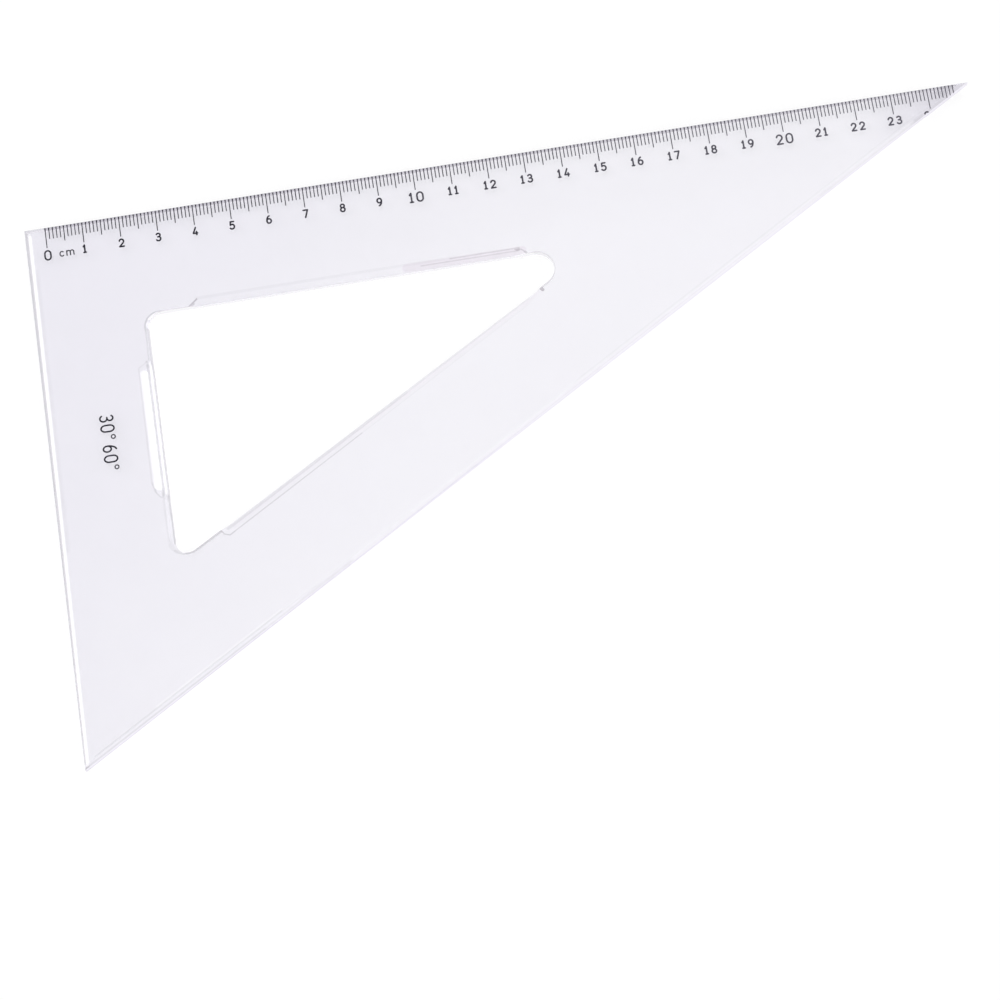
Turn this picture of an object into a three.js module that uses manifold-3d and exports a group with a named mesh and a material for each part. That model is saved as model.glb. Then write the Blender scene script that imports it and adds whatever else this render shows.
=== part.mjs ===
import * as THREE from 'three';
import { mergeVertices } from 'three/addons/utils/BufferGeometryUtils.js';
import { ConvexGeometry } from 'three/addons/geometries/ConvexGeometry.js';
import Module from 'manifold-3d';

// A clear plastic 30 and 60 degree set square with a printed centimetre scale.
// Millimetres. +X runs along the scale, +Y towards the graduated edge, +Z up off the paper.
// The origin is on the paper, under the middle of the plate's bounding box.

const wasm = await Module();
wasm.setup();

const fullTurn = 360;
const degree = 2 * Math.PI / fullTurn;

// Plate: a right triangle, given by the length of its graduated edge and the angle at the far tip
const plateLength = 257;
const plateThickness = 2.2;
const tipAngle = 30 * degree;
const shortEdge = plateLength * Math.tan(tipAngle);

// Window: the width of plate left along each side, measured at both ends of the long one
const ruledBand = 28.7;
const shortBand = 29.9;
const longBandAtFoot = 28.7;
const longBandAtTip = 27.6;
const squareCornerRadius = 4;
const footCornerRadius = 3.3;
const tipCornerRadius = 4.7;

// Slanted wall along the window's short side
const windowSlopeWidth = 1.6;
const windowSlopeDepth = 1.4;

// Ink relief: the underside cut back along the two ruling edges, which leaves a thin upright rim
const shortReliefWidth = 1.6;
const longReliefWidth = 1.3;
const reliefDepth = 0.6;

// Finger lifts: long bevels on the window's rim, and how far each stays from the window's corners
const liftWidth = 2.1;
const liftDepth = 1.1;
const liftEndSlant = 2.2;
const ruledLiftFromSquare = 11.3;
const ruledLiftFromTip = 19.9;
const longLiftFromFoot = 13.8;
const longLiftFromTip = 19.8;
const shortLiftWidth = 3.7;
const shortLiftDepth = 1.05;
const shortLiftHeelWidth = 2.8;
const shortLiftFromSquare = 12.7;
const shortLiftFromFoot = 17.5;

// Scale: a stroke for every millimetre, from the zero at the square corner to the last at the tip,
// longer at each half and whole centimetre
const zeroInset = 5.6;
const lastInset = 4.4;
const markCount = 248;
const markPitch = (plateLength - zeroInset - lastInset) / (markCount - 1);
const marksPerNumber = 10;
const millimetreMark = 3.35;
const halfMark = 4.45;
const centimetreMark = 5.85;
const markStroke = 0.22;
const markRim = 0.12;

// Numerals under the centimetre strokes, with 0, 10 and 20 drawn larger
const numeralClearance = 0.55;
const numeralDrop = centimetreMark + numeralClearance;
const numeralHeight = 2.55;
const numeralWidth = 1.6;
const largeNumeralHeight = 3.05;
const largeNumeralWidth = 1.9;
const numeralGap = 0.7;
const numeralStroke = 0.36;
const numbersPerLarge = 10;

// Unit lettering between 0 and 1
const unitInset = 8.7;
const unitHeight = 1.65;
const unitGap = 0.55;
const unitStroke = 0.32;
const unitWidths = { c: 1.3, m: 2.2 };

// Plain angle numbers beside the window, read down the short edge
const angleInset = 14;
const angleStart = 55;
const angleHeight = 3.9;
const angleWidth = 2.05;
const angleStroke = 0.45;
const angleGap = 0.65;
const angleRing = 1.35;
const angleWordGap = 1.5;

// Ink film, and the bare strip between it and the plate's edges
const inkThickness = 0.05;
const inkInset = 0.1;

// Overrun that carries every cut clear of the plate, and the fineness of round outlines
const overrun = 5;
const cornerSteps = 12;
const bowStep = 30;
const capSteps = 3;

// Colours and surface values
const plasticLook = { color: 0xeeedf5, roughness: 0.12, metalness: 0, transparent: true, opacity: 0.45 };
const inkLook = { color: 0x2a2630, roughness: 0.55, metalness: 0 };

// A closed geometry as a solid that can be joined and cut
function toSolid(geometry) {
  const bare = geometry.clone();
  bare.deleteAttribute('normal');
  bare.deleteAttribute('uv');
  const merged = mergeVertices(bare);
  const vertProperties = merged.attributes.position.array;
  const triVerts = new Uint32Array(merged.index.array);
  return new wasm.Manifold(new wasm.Mesh({ numProp: 3, vertProperties, triVerts }));
}

// A solid as a geometry with flat faces
function toGeometry(solid) {
  const { vertProperties, triVerts } = solid.getMesh();
  const indexed = new THREE.BufferGeometry();
  indexed.setAttribute('position', new THREE.BufferAttribute(vertProperties, 3));
  indexed.setIndex(new THREE.BufferAttribute(triVerts, 1));
  const geometry = indexed.toNonIndexed();
  geometry.computeVertexNormals();
  return geometry;
}

// An upright prism over a shape, from one height to another
function prism(shape, floor, ceiling) {
  const geometry = new THREE.ExtrudeGeometry(shape, { depth: ceiling - floor, bevelEnabled: false });
  return geometry.translate(0, 0, floor);
}

// A point on the line that lies inside the hypotenuse by a given band, at one x or at one y
function onBandAtX(x, band) {
  return new THREE.Vector2(x, (x - plateLength) * Math.tan(tipAngle) + band / Math.cos(tipAngle));
}

function onBandAtY(y, band) {
  return new THREE.Vector2(plateLength + (y - band / Math.cos(tipAngle)) / Math.tan(tipAngle), y);
}

// The plate's triangle, moved in from all three edges, as the corners square, foot and tip
function plateCorners(inset) {
  return [new THREE.Vector2(inset, -inset), onBandAtX(inset, inset), onBandAtY(-inset, inset)];
}

// The window's triangle before its corners are rounded, in the same order
const windowCorners = [
  new THREE.Vector2(shortBand, -ruledBand),
  onBandAtX(shortBand, longBandAtFoot),
  onBandAtY(-ruledBand, longBandAtTip),
];

// An outline with every corner rounded by its own radius
function roundedShape(corners, radii) {
  const points = corners.flatMap((corner, i) => {
    const before = corners[(i + corners.length - 1) % corners.length].clone().sub(corner).normalize();
    const after = corners[(i + 1) % corners.length].clone().sub(corner).normalize();
    const half = Math.acos(before.dot(after)) / 2;
    const middle = before.clone().add(after).normalize();
    const centre = corner.clone().addScaledVector(middle, radii[i] / Math.sin(half));
    const reach = radii[i] / Math.tan(half);
    const first = corner.clone().addScaledVector(before, reach).sub(centre);
    const turn = first.cross(corner.clone().addScaledVector(after, reach).sub(centre)) > 0 ? 1 : -1;
    const sweep = turn * (Math.PI - 2 * half);
    return Array.from({ length: cornerSteps + 1 }, (_, step) =>
      first.clone().rotateAround(new THREE.Vector2(), sweep * step / cornerSteps).add(centre));
  });
  return new THREE.Shape(points);
}

// A wedge that cuts a bevel along the line from start to end. into points from that line into the
// plate, up is 1 for a bevel on top and -1 for one underneath, and the ends can lean in by a slant.
function bevelCutter(start, end, into, width, depth, up, slant) {
  const along = end.clone().sub(start).normalize();
  const length = start.distanceTo(end);
  const level = up > 0 ? plateThickness : 0;
  const points = [];
  for (const layer of [-1, 1]) {
    for (const side of [-1, 1]) {
      for (const run of [slant * layer, length - slant * layer]) {
        const place = start.clone().addScaledVector(along, run);
        place.addScaledVector(into, width * (layer / 2 + side));
        points.push(new THREE.Vector3(place.x, place.y, level + up * depth * (side - layer / 2)));
      }
    }
  }
  return toSolid(new ConvexGeometry(points));
}

// The ink relief under the whole length of an edge, cut out past both of its ends
function reliefCutter(start, end, into, width) {
  const along = end.clone().sub(start).normalize();
  const first = start.clone().addScaledVector(along, -overrun);
  const last = end.clone().addScaledVector(along, overrun);
  return bevelCutter(first, last, into, width, reliefDepth, -1, 0);
}

// A finger lift on one side of the window, kept clear of the corners at its two ends
function liftCutter(from, to, fromGap, toGap, into, width, depth) {
  const along = to.clone().sub(from).normalize();
  const first = from.clone().addScaledVector(along, fromGap);
  const last = to.clone().addScaledVector(along, -toGap);
  return bevelCutter(first, last, into, width, depth, 1, liftEndSlant);
}

// The window with upright walls, and the leaning copy that slants its short side
function windowCutters() {
  const shape = roundedShape(windowCorners, [squareCornerRadius, footCornerRadius, tipCornerRadius]);
  const upright = prism(shape, -overrun, plateThickness + overrun);
  const lean = -windowSlopeWidth / windowSlopeDepth;
  const slope = prism(shape, 0, windowSlopeDepth + overrun);
  slope.applyMatrix4(new THREE.Matrix4().makeShear(0, 0, 0, 0, lean, 0));
  slope.translate(0, 0, plateThickness - windowSlopeDepth);
  return [toSolid(upright), toSolid(slope)];
}

// The clear plate: triangle, window, finger lifts and edge bevels
function makePlate() {
  const [square, foot, tip] = plateCorners(0);
  const [windowSquare, windowFoot, windowTip] = windowCorners;
  const left = new THREE.Vector2(-1, 0);
  const top = new THREE.Vector2(0, 1);
  const inwards = new THREE.Vector2(-Math.sin(tipAngle), Math.cos(tipAngle));
  const rim = windowTip.clone().sub(windowFoot).normalize();
  const outOfRim = new THREE.Vector2(rim.y, -rim.x);
  const cutters = [
    ...windowCutters(),
    reliefCutter(square, foot, left.clone().negate(), shortReliefWidth),
    reliefCutter(foot, tip, inwards, longReliefWidth),
    liftCutter(windowSquare, windowTip, ruledLiftFromSquare, ruledLiftFromTip, top, liftWidth, liftDepth),
    liftCutter(windowFoot, windowTip, longLiftFromFoot, longLiftFromTip, outOfRim, liftWidth, liftDepth),
    liftCutter(windowSquare, windowFoot, shortLiftFromSquare, shortLiftFromFoot, left,
      shortLiftWidth, shortLiftDepth),
    liftCutter(windowSquare, windowFoot, shortLiftFromSquare, shortLiftFromFoot, left,
      shortLiftHeelWidth, windowSlopeDepth),
  ];
  const blank = toSolid(prism(new THREE.Shape([square, foot, tip]), 0, plateThickness));
  const solid = cutters.reduce((body, cutter) => body.subtract(cutter), blank);
  const mesh = new THREE.Mesh(toGeometry(solid), new THREE.MeshStandardMaterial(plasticLook));
  mesh.name = 'plate';
  return mesh;
}

// An ink piece, as a mesh on top of the plate
function inkMesh(solid, name) {
  const mesh = new THREE.Mesh(toGeometry(solid), new THREE.MeshStandardMaterial(inkLook));
  mesh.name = name;
  return mesh;
}

// What of a printed solid lies on the plate, clear of its edges, when it is placed at x and y
function trimmed(solid, x, y) {
  const field = prism(new THREE.Shape(plateCorners(inkInset)), -overrun, overrun);
  return solid.intersect(toSolid(field.translate(-x, -y, 0)));
}

// The length of the stroke with a given number
function markLength(index) {
  if (index % marksPerNumber === 0) return centimetreMark;
  return index % (marksPerNumber / 2) === 0 ? halfMark : millimetreMark;
}

// All strokes of the scale as one comb, joined by a hairline along the graduated edge
function makeMarks() {
  const teeth = Array.from({ length: markCount }, (_, index) => {
    const middle = zeroInset + index * markPitch;
    const foot = -markLength(index);
    const sides = [middle - markStroke / 2, middle + markStroke / 2];
    return [
      new THREE.Vector2(sides[0], -inkInset - markRim),
      new THREE.Vector2(sides[0], foot),
      new THREE.Vector2(sides[1], foot),
      new THREE.Vector2(sides[1], -inkInset - markRim),
    ];
  }).flat();
  const first = teeth[0].x;
  const last = teeth[teeth.length - 1].x;
  const comb = [new THREE.Vector2(first, -inkInset), ...teeth, new THREE.Vector2(last, -inkInset)];
  return inkMesh(trimmed(toSolid(prism(new THREE.Shape(comb), 0, inkThickness)), 0, 0), 'scale_marks');
}

// Points along part of an oval, in shares of a character's box, between two angles in degrees
function bow([x, y], [wide, high], from, to) {
  const steps = Math.max(1, Math.round(Math.abs(to - from) / bowStep));
  return Array.from({ length: steps + 1 }, (_, step) => {
    const angle = (from + (to - from) * step / steps) * degree;
    return [x + wide * Math.cos(angle), y + high * Math.sin(angle)];
  });
}

// Points all round an oval, in shares of a character's box, with no point given twice
function oval(centre, radii) {
  return bow(centre, radii, 0, fullTurn - bowStep);
}

// Characters as centre lines of the pen, in shares of the box between the pen's outermost places
const characterShares = {
  0: { rings: [[...bow([0.5, 0.66], [0.5, 0.34], 0, 180), ...bow([0.5, 0.34], [0.5, 0.34], 180, 360)]] },
  1: { lines: [[[0, 0.78], [0.5, 1]], [[0.5, 1], [0.5, 0]], [[0, 0], [1, 0]]] },
  2: { lines: [[...bow([0.5, 0.7], [0.5, 0.3], 165, -30), [0, 0]], [[0, 0], [1, 0]]] },
  3: {
    lines: [
      [...bow([0.48, 0.77], [0.44, 0.23], 150, -90), [0.36, 0.54]],
      [[0.36, 0.54], ...bow([0.48, 0.27], [0.52, 0.27], 90, -150)],
    ],
  },
  4: { lines: [[[0.62, 1], [0, 0.22]], [[0, 0.22], [1, 0.22]], [[0.77, 0.42], [0.77, 0]]] },
  5: {
    lines: [
      [[0.92, 1], [0.16, 1]],
      [[0.16, 1], [0.1, 0.54]],
      [[0.1, 0.54], ...bow([0.46, 0.32], [0.54, 0.32], 105, -145)],
    ],
  },
  6: {
    rings: [oval([0.5, 0.3], [0.5, 0.3])],
    lines: [bow([0.75, 0.32], [0.75, 0.68], 175, 100)],
  },
  7: { lines: [[[0, 1], [1, 1]], [[1, 1], [0.35, 0]]] },
  8: { rings: [oval([0.5, 0.77], [0.43, 0.23]), oval([0.5, 0.27], [0.5, 0.27])] },
  9: {
    rings: [oval([0.5, 0.7], [0.5, 0.3])],
    lines: [bow([0.25, 0.68], [0.75, 0.68], -5, -80)],
  },
  c: { lines: [bow([0.55, 0.5], [0.55, 0.5], 50, 310)] },
  m: {
    lines: [
      [[0, 0], [0, 1]],
      [...bow([0.25, 0.66], [0.25, 0.34], 180, 0), [0.5, 0]],
      [...bow([0.75, 0.66], [0.25, 0.34], 180, 0), [1, 0]],
    ],
  },
  ring: { rings: [oval([0.5, 0.5], [0.5, 0.5])] },
};

// How wide a character is beside the common width
const characterWidthShares = { 0: 1.08, 1: 0.66 };

// Both edges of a pen line: its points moved sideways by half the pen, mitred at each bend
function penEdges(points, pen, closed) {
  const count = points.length;
  const step = (i, j) => points[j % count].clone().sub(points[i % count]).normalize();
  return [1, -1].map((side) => points.map((point, i) => {
    const into = closed || i > 0 ? step(i + count - 1, i) : step(i, i + 1);
    const out = closed || i < count - 1 ? step(i, i + 1) : into;
    const ahead = into.clone().add(out).normalize();
    const reach = side * pen / 2 / ahead.dot(into);
    return new THREE.Vector2(-ahead.y, ahead.x).multiplyScalar(reach).add(point);
  }));
}

// A closed pen line: a band with a hole in it
function ringShape(points, pen) {
  const edges = penEdges(points, pen, true).map((edge) => new THREE.Shape(edge));
  const [inner, outer] = edges.sort((a, b) => Math.abs(THREE.ShapeUtils.area(a.getPoints()))
    - Math.abs(THREE.ShapeUtils.area(b.getPoints())));
  outer.holes.push(inner);
  return outer;
}

// An open pen line with a rounded cap at each end
function lineShape(points, pen) {
  const [left, right] = penEdges(points, pen, false);
  const cap = (start, centre) => Array.from({ length: capSteps - 1 }, (_, i) =>
    start.clone().rotateAround(centre, -Math.PI * (i + 1) / capSteps));
  const lastCap = cap(left[left.length - 1], points[points.length - 1]);
  const firstCap = cap(right[0], points[0]);
  return new THREE.Shape([...left, ...lastCap, ...right.toReversed(), ...firstCap]);
}

// A character's solid, with its lower left corner at the origin
function makeCharacter(character, width, height, pen) {
  const { rings = [], lines = [] } = characterShares[character];
  const place = ([x, y]) => new THREE.Vector2(pen / 2 + x * (width - pen), pen / 2 + y * (height - pen));
  const shapes = [
    ...rings.map((ring) => ringShape(ring.map(place), pen)),
    ...lines.map((line) => lineShape(line.map(place), pen)),
  ];
  return shapes.map((shape) => toSolid(prism(shape, 0, inkThickness))).reduce((all, one) => all.add(one));
}

// The width of each character of a number
function characterWidths(text, width) {
  return [...text].map((character) => width * (characterWidthShares[character] ?? 1));
}

// One number centred under its stroke, with a mesh for every digit
function makeNumber(value) {
  const text = String(value);
  const places = ['tens', 'units'].slice(-text.length);
  const large = value % numbersPerLarge === 0;
  const height = large ? largeNumeralHeight : numeralHeight;
  const widths = characterWidths(text, large ? largeNumeralWidth : numeralWidth);
  const whole = widths.reduce((sum, width) => sum + width, numeralGap * (text.length - 1));
  const y = -numeralDrop - height;
  let x = zeroInset + value * marksPerNumber * markPitch - whole / 2;
  return [...text].map((digit, i) => {
    const solid = trimmed(makeCharacter(digit, widths[i], height, numeralStroke), x, y);
    const mesh = inkMesh(solid, `numeral_${value}_${places[i]}`);
    mesh.position.set(x, y, 0);
    x += widths[i] + numeralGap;
    return mesh;
  });
}

// The unit lettering beside the zero
function makeUnit() {
  let x = unitInset;
  return Object.entries(unitWidths).map(([letter, width]) => {
    const mesh = inkMesh(makeCharacter(letter, width, unitHeight, unitStroke), `unit_letter_${letter}`);
    mesh.position.set(x, -numeralDrop - numeralHeight, 0);
    x += width + unitGap;
    return mesh;
  });
}

// The two angle numbers, each two digits and a small ring, in a group turned to read downwards
function makeAngles() {
  const group = new THREE.Group();
  let x = 0;
  for (const angle of ['30', '60']) {
    characterWidths(angle, angleWidth).forEach((width, i) => {
      const solid = makeCharacter(angle[i], width, angleHeight, angleStroke);
      const digit = inkMesh(solid, `angle_${angle}_${['tens', 'units'][i]}`);
      digit.position.set(x, 0, 0);
      group.add(digit);
      x += width + angleGap;
    });
    const ring = inkMesh(makeCharacter('ring', angleRing, angleRing, unitStroke), `angle_${angle}_ring`);
    ring.position.set(x, angleHeight - angleRing, 0);
    group.add(ring);
    x += angleRing + angleWordGap;
  }
  group.position.set(angleInset, -angleStart, 0);
  group.rotation.z = -Math.PI / 2;
  return group;
}

// The print lies on top of the plate. Its places, like the plate's, start at the square corner.
const print = new THREE.Group();
print.position.z = plateThickness;
print.add(makeMarks());
const numberCount = Math.floor(markCount / marksPerNumber);
for (let value = 0; value < numberCount; value += 1) {
  print.add(...makeNumber(value));
}
print.add(...makeUnit());
print.add(makeAngles());

const corner = new THREE.Group();
corner.position.set(-plateLength / 2, shortEdge / 2, 0);
corner.add(makePlate(), print);

const setSquare = new THREE.Group();
setSquare.add(corner);

export default setSquare;
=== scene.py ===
"""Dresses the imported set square: a clear moulded plate, its printed scale and a pale studio."""

import logging
import math
from collections.abc import Callable, Iterable, Sequence
from dataclasses import dataclass, replace
from enum import Enum

import bpy
from mathutils import Euler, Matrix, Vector


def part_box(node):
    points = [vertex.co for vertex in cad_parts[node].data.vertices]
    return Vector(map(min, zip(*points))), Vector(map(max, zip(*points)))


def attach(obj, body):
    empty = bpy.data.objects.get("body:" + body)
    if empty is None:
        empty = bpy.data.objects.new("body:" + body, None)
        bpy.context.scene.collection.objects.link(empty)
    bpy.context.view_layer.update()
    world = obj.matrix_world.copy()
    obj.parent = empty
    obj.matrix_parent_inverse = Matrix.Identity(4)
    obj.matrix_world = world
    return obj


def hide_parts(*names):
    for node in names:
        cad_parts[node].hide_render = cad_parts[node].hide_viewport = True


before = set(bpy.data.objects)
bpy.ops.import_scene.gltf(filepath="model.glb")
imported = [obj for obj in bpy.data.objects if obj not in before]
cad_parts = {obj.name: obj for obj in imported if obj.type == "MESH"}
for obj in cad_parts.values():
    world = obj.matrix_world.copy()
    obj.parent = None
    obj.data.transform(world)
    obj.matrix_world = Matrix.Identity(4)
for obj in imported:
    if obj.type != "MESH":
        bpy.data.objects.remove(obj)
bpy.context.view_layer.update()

log = logging.getLogger("set_square")

MM = 0.001
ORIGIN = (0.0, 0.0, 0.0)
QUARTER_TURN = math.radians(90.0)
EIGHTH_TURN = math.radians(45.0)
# Multiplied with a point, it drops the height
FLAT = (1.0, 1.0, 0.0)
# How far a cutting tool reaches past what it cuts, in millimetres
OVERRUN = 5.0
# The coarsest step along a printed curve, and the steps of a stroke's round end, in degrees
CURVE_STEP = 12.0
CAP_ANGLES = (30.0, 55.0, 75.0, 86.0)
# How round a pen line is, and into how many parts its width goes for merging vertices
PEN_ROUNDNESS = 2
PEN_PARTS = 100
# Characters that are wider or narrower than the others
WIDTH_SHARES = {"0": 1.08, "1": 0.66}
ROOT = "root"

Point = tuple[float, float]
Colour = tuple[float, float, float, float]
Solid = bpy.types.Object
Socket = bpy.types.NodeSocket


class Side(Enum):
    """The face of the plate that a bevel is cut into."""

    TOP = 1
    UNDERSIDE = -1


# Bench: the hand moves that every piece is modelled with


def put_down() -> None:
    """Leaves edit mode and deselects everything."""
    if bpy.context.object is not None and bpy.context.object.mode != "OBJECT":
        bpy.ops.object.mode_set(mode="OBJECT")
    bpy.ops.object.select_all(action="DESELECT")


def take(*pieces: Solid) -> Solid:
    """Selects some pieces and nothing else.

    Args:
        *pieces: The pieces. The first becomes the active one.

    Returns:
        The active piece.
    """
    put_down()
    for piece in pieces:
        piece.select_set(True)
    bpy.context.view_layer.objects.active = pieces[0]
    return pieces[0]


def edit(piece: Solid, wanted: Callable[[Vector], bool] = lambda place: True) -> None:
    """Opens a piece in edit mode with some of its vertices selected.

    Args:
        piece: The piece to open.
        wanted: Says of a vertex's place whether it is selected.
    """
    take(piece)
    mesh = piece.data
    for part in (mesh.edges, mesh.polygons):
        part.foreach_set("select", [False] * len(part))
    mesh.vertices.foreach_set("select", [wanted(vertex.co) for vertex in mesh.vertices])
    bpy.context.tool_settings.mesh_select_mode = (True, False, False)
    bpy.ops.object.mode_set(mode="EDIT")


def settle(piece: Solid) -> Solid:
    """Moves a piece's place, turn and size into its mesh, and puts its object at the origin.

    Args:
        piece: The piece.

    Returns:
        The same piece.
    """
    take(piece)
    bpy.ops.object.transform_apply(location=True, rotation=True, scale=True)
    return piece


def join(pieces: Sequence[Solid]) -> Solid:
    """Joins pieces into the first of them.

    Args:
        pieces: The pieces. One alone stays as it is.

    Returns:
        The first piece.
    """
    joined = take(*pieces)
    if len(pieces) > 1:
        bpy.ops.object.join()
    return joined


def recalculate(piece: Solid) -> None:
    """Turns every face of a closed piece outwards.

    Args:
        piece: The piece.
    """
    edit(piece)
    bpy.ops.mesh.normals_make_consistent(inside=False)
    put_down()


def apply(piece: Solid, kind: str, **settings: object) -> Solid:
    """Adds one modifier to a piece and applies it.

    Args:
        piece: The piece.
        kind: The modifier's type.
        **settings: Values for the modifier's own fields.

    Returns:
        The same piece.
    """
    take(piece)
    modifier = piece.modifiers.new(kind.lower(), kind)
    for field_name, value in settings.items():
        setattr(modifier, field_name, value)
    bpy.ops.object.modifier_apply(modifier=modifier.name)
    return piece


def combine(piece: Solid, tool: Solid, operation: str) -> Solid:
    """Joins a solid to a piece or cuts it out of the piece, and uses the solid up.

    Args:
        piece: The piece that stays.
        tool: The solid that is used up.
        operation: UNION or DIFFERENCE.

    Returns:
        The piece.
    """
    apply(piece, "BOOLEAN", operation=operation, solver="MANIFOLD", object=tool)
    bpy.data.objects.remove(tool)
    return piece


def clean(piece: Solid, reach: float) -> Solid:
    """Merges the vertices of a piece that lie close together.

    Args:
        piece: The piece.
        reach: The distance below which they are merged.

    Returns:
        The same piece.
    """
    edit(piece)
    bpy.ops.mesh.remove_doubles(threshold=reach)
    put_down()
    return piece


def slice_off(piece: Solid, place: Vector, outwards: Vector) -> None:
    """Cuts a piece along a plane, drops what lies beyond it and closes the cut.

    Args:
        piece: The piece.
        place: A point on the plane.
        outwards: The plane's normal, towards what is dropped.
    """
    edit(piece)
    bpy.ops.mesh.bisect(plane_co=place, plane_no=outwards, use_fill=True, clear_outer=True)
    put_down()


def block(size: Sequence[float], centre: Sequence[float] = ORIGIN) -> Solid:
    """A block to start from.

    Args:
        size: Its three lengths in metres.
        centre: The place of its middle.

    Returns:
        The block, settled.
    """
    put_down()
    bpy.ops.mesh.primitive_cube_add(size=1.0, location=centre, scale=size)
    return settle(bpy.context.object)


# The plate's own coordinates


@dataclass(frozen=True)
class Triangle:
    """Where things lie on the plate, in millimetres from its square corner.

    +X runs along the scale, and the plate lies at negative Y.
    """

    corner: Vector
    length: float
    depth: float
    thickness: float

    @classmethod
    def from_frame(cls) -> "Triangle":
        """Reads the plate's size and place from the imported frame.

        Returns:
            The plate's coordinates.
        """
        low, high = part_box("plate")
        length, depth, thickness = (high - low) / MM
        return cls(Vector((low.x, high.y, low.z)), length, depth, thickness)

    @property
    def tip_angle(self) -> float:
        """The angle at the narrow end, in radians."""
        return math.atan2(self.depth, self.length)

    @property
    def into(self) -> Vector:
        """The direction from the slanting edge into the plate."""
        return Vector((-math.sin(self.tip_angle), math.cos(self.tip_angle), 0.0))

    def place(self, x: float, y: float, z: float = 0.0) -> Vector:
        """A point of the plate in the shared frame, in metres."""
        return self.corner + Vector((x, y, z)) * MM

    def at_x(self, x: float, band: float) -> Point:
        """The point at an x that lies inside the slanting edge by a band."""
        drop = (x - self.length) * math.tan(self.tip_angle)
        return x, drop + band / math.cos(self.tip_angle)

    def at_y(self, y: float, band: float) -> Point:
        """The point at a y that lies inside the slanting edge by a band."""
        rise = y - band / math.cos(self.tip_angle)
        return self.length + rise / math.tan(self.tip_angle), y


@dataclass(frozen=True)
class WindowCorner:
    """One corner of the window: the point where its sides would meet, and its rounding."""

    x: float
    y: float
    radius: float

    def centre(self, before: "WindowCorner", after: "WindowCorner") -> Point:
        """The centre of the rounding.

        Args:
            before: The corner before this one.
            after: The corner after this one.

        Returns:
            The centre in plate coordinates.
        """
        here = Vector((self.x, self.y))
        back = (Vector((before.x, before.y)) - here).normalized()
        ahead = (Vector((after.x, after.y)) - here).normalized()
        half = back.angle(ahead) / 2
        centre = here + (back + ahead).normalized() * self.radius / math.sin(half)
        return centre.x, centre.y


@dataclass(frozen=True)
class BevelCut:
    """A straight bevel. The plate lies to the left of the line from start to end."""

    start: Point
    end: Point
    width: float
    depth: float
    side: Side
    slant: float = 0.0

    def tool(self, triangle: Triangle) -> Solid:
        """The wedge that cuts the bevel.

        Args:
            triangle: The plate's coordinates.

        Returns:
            The wedge, in its place.
        """
        run = Vector(self.end) - Vector(self.start)
        # On its edge the bar meets both axes at 1, and scaling then sets width and depth
        wedge = block((run.length * MM, 2 * math.sqrt(2), math.sqrt(2)))
        # Both ends slant: the bar is short at its depth and long at the face
        deep = -self.side.value
        for layer, change in ((deep, -self.slant), (-deep, self.slant)):
            edit(wedge, lambda place, layer=layer: place.z * layer > 0)
            grown = 1 + 2 * change / run.length
            bpy.ops.transform.resize(value=(grown, 1, 1), center_override=ORIGIN)
        put_down()
        wedge.rotation_euler.x = self.side.value * EIGHTH_TURN
        settle(wedge)
        wedge.scale = (1.0, self.width * MM, self.depth * MM)
        settle(wedge)
        middle = (Vector(self.start) + Vector(self.end)) / 2
        level = triangle.thickness if self.side is Side.TOP else 0.0
        wedge.location = triangle.place(middle.x, middle.y, level)
        wedge.rotation_euler.z = math.atan2(run.y, run.x)
        settle(wedge)
        recalculate(wedge)
        return wedge


# The pieces


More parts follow.
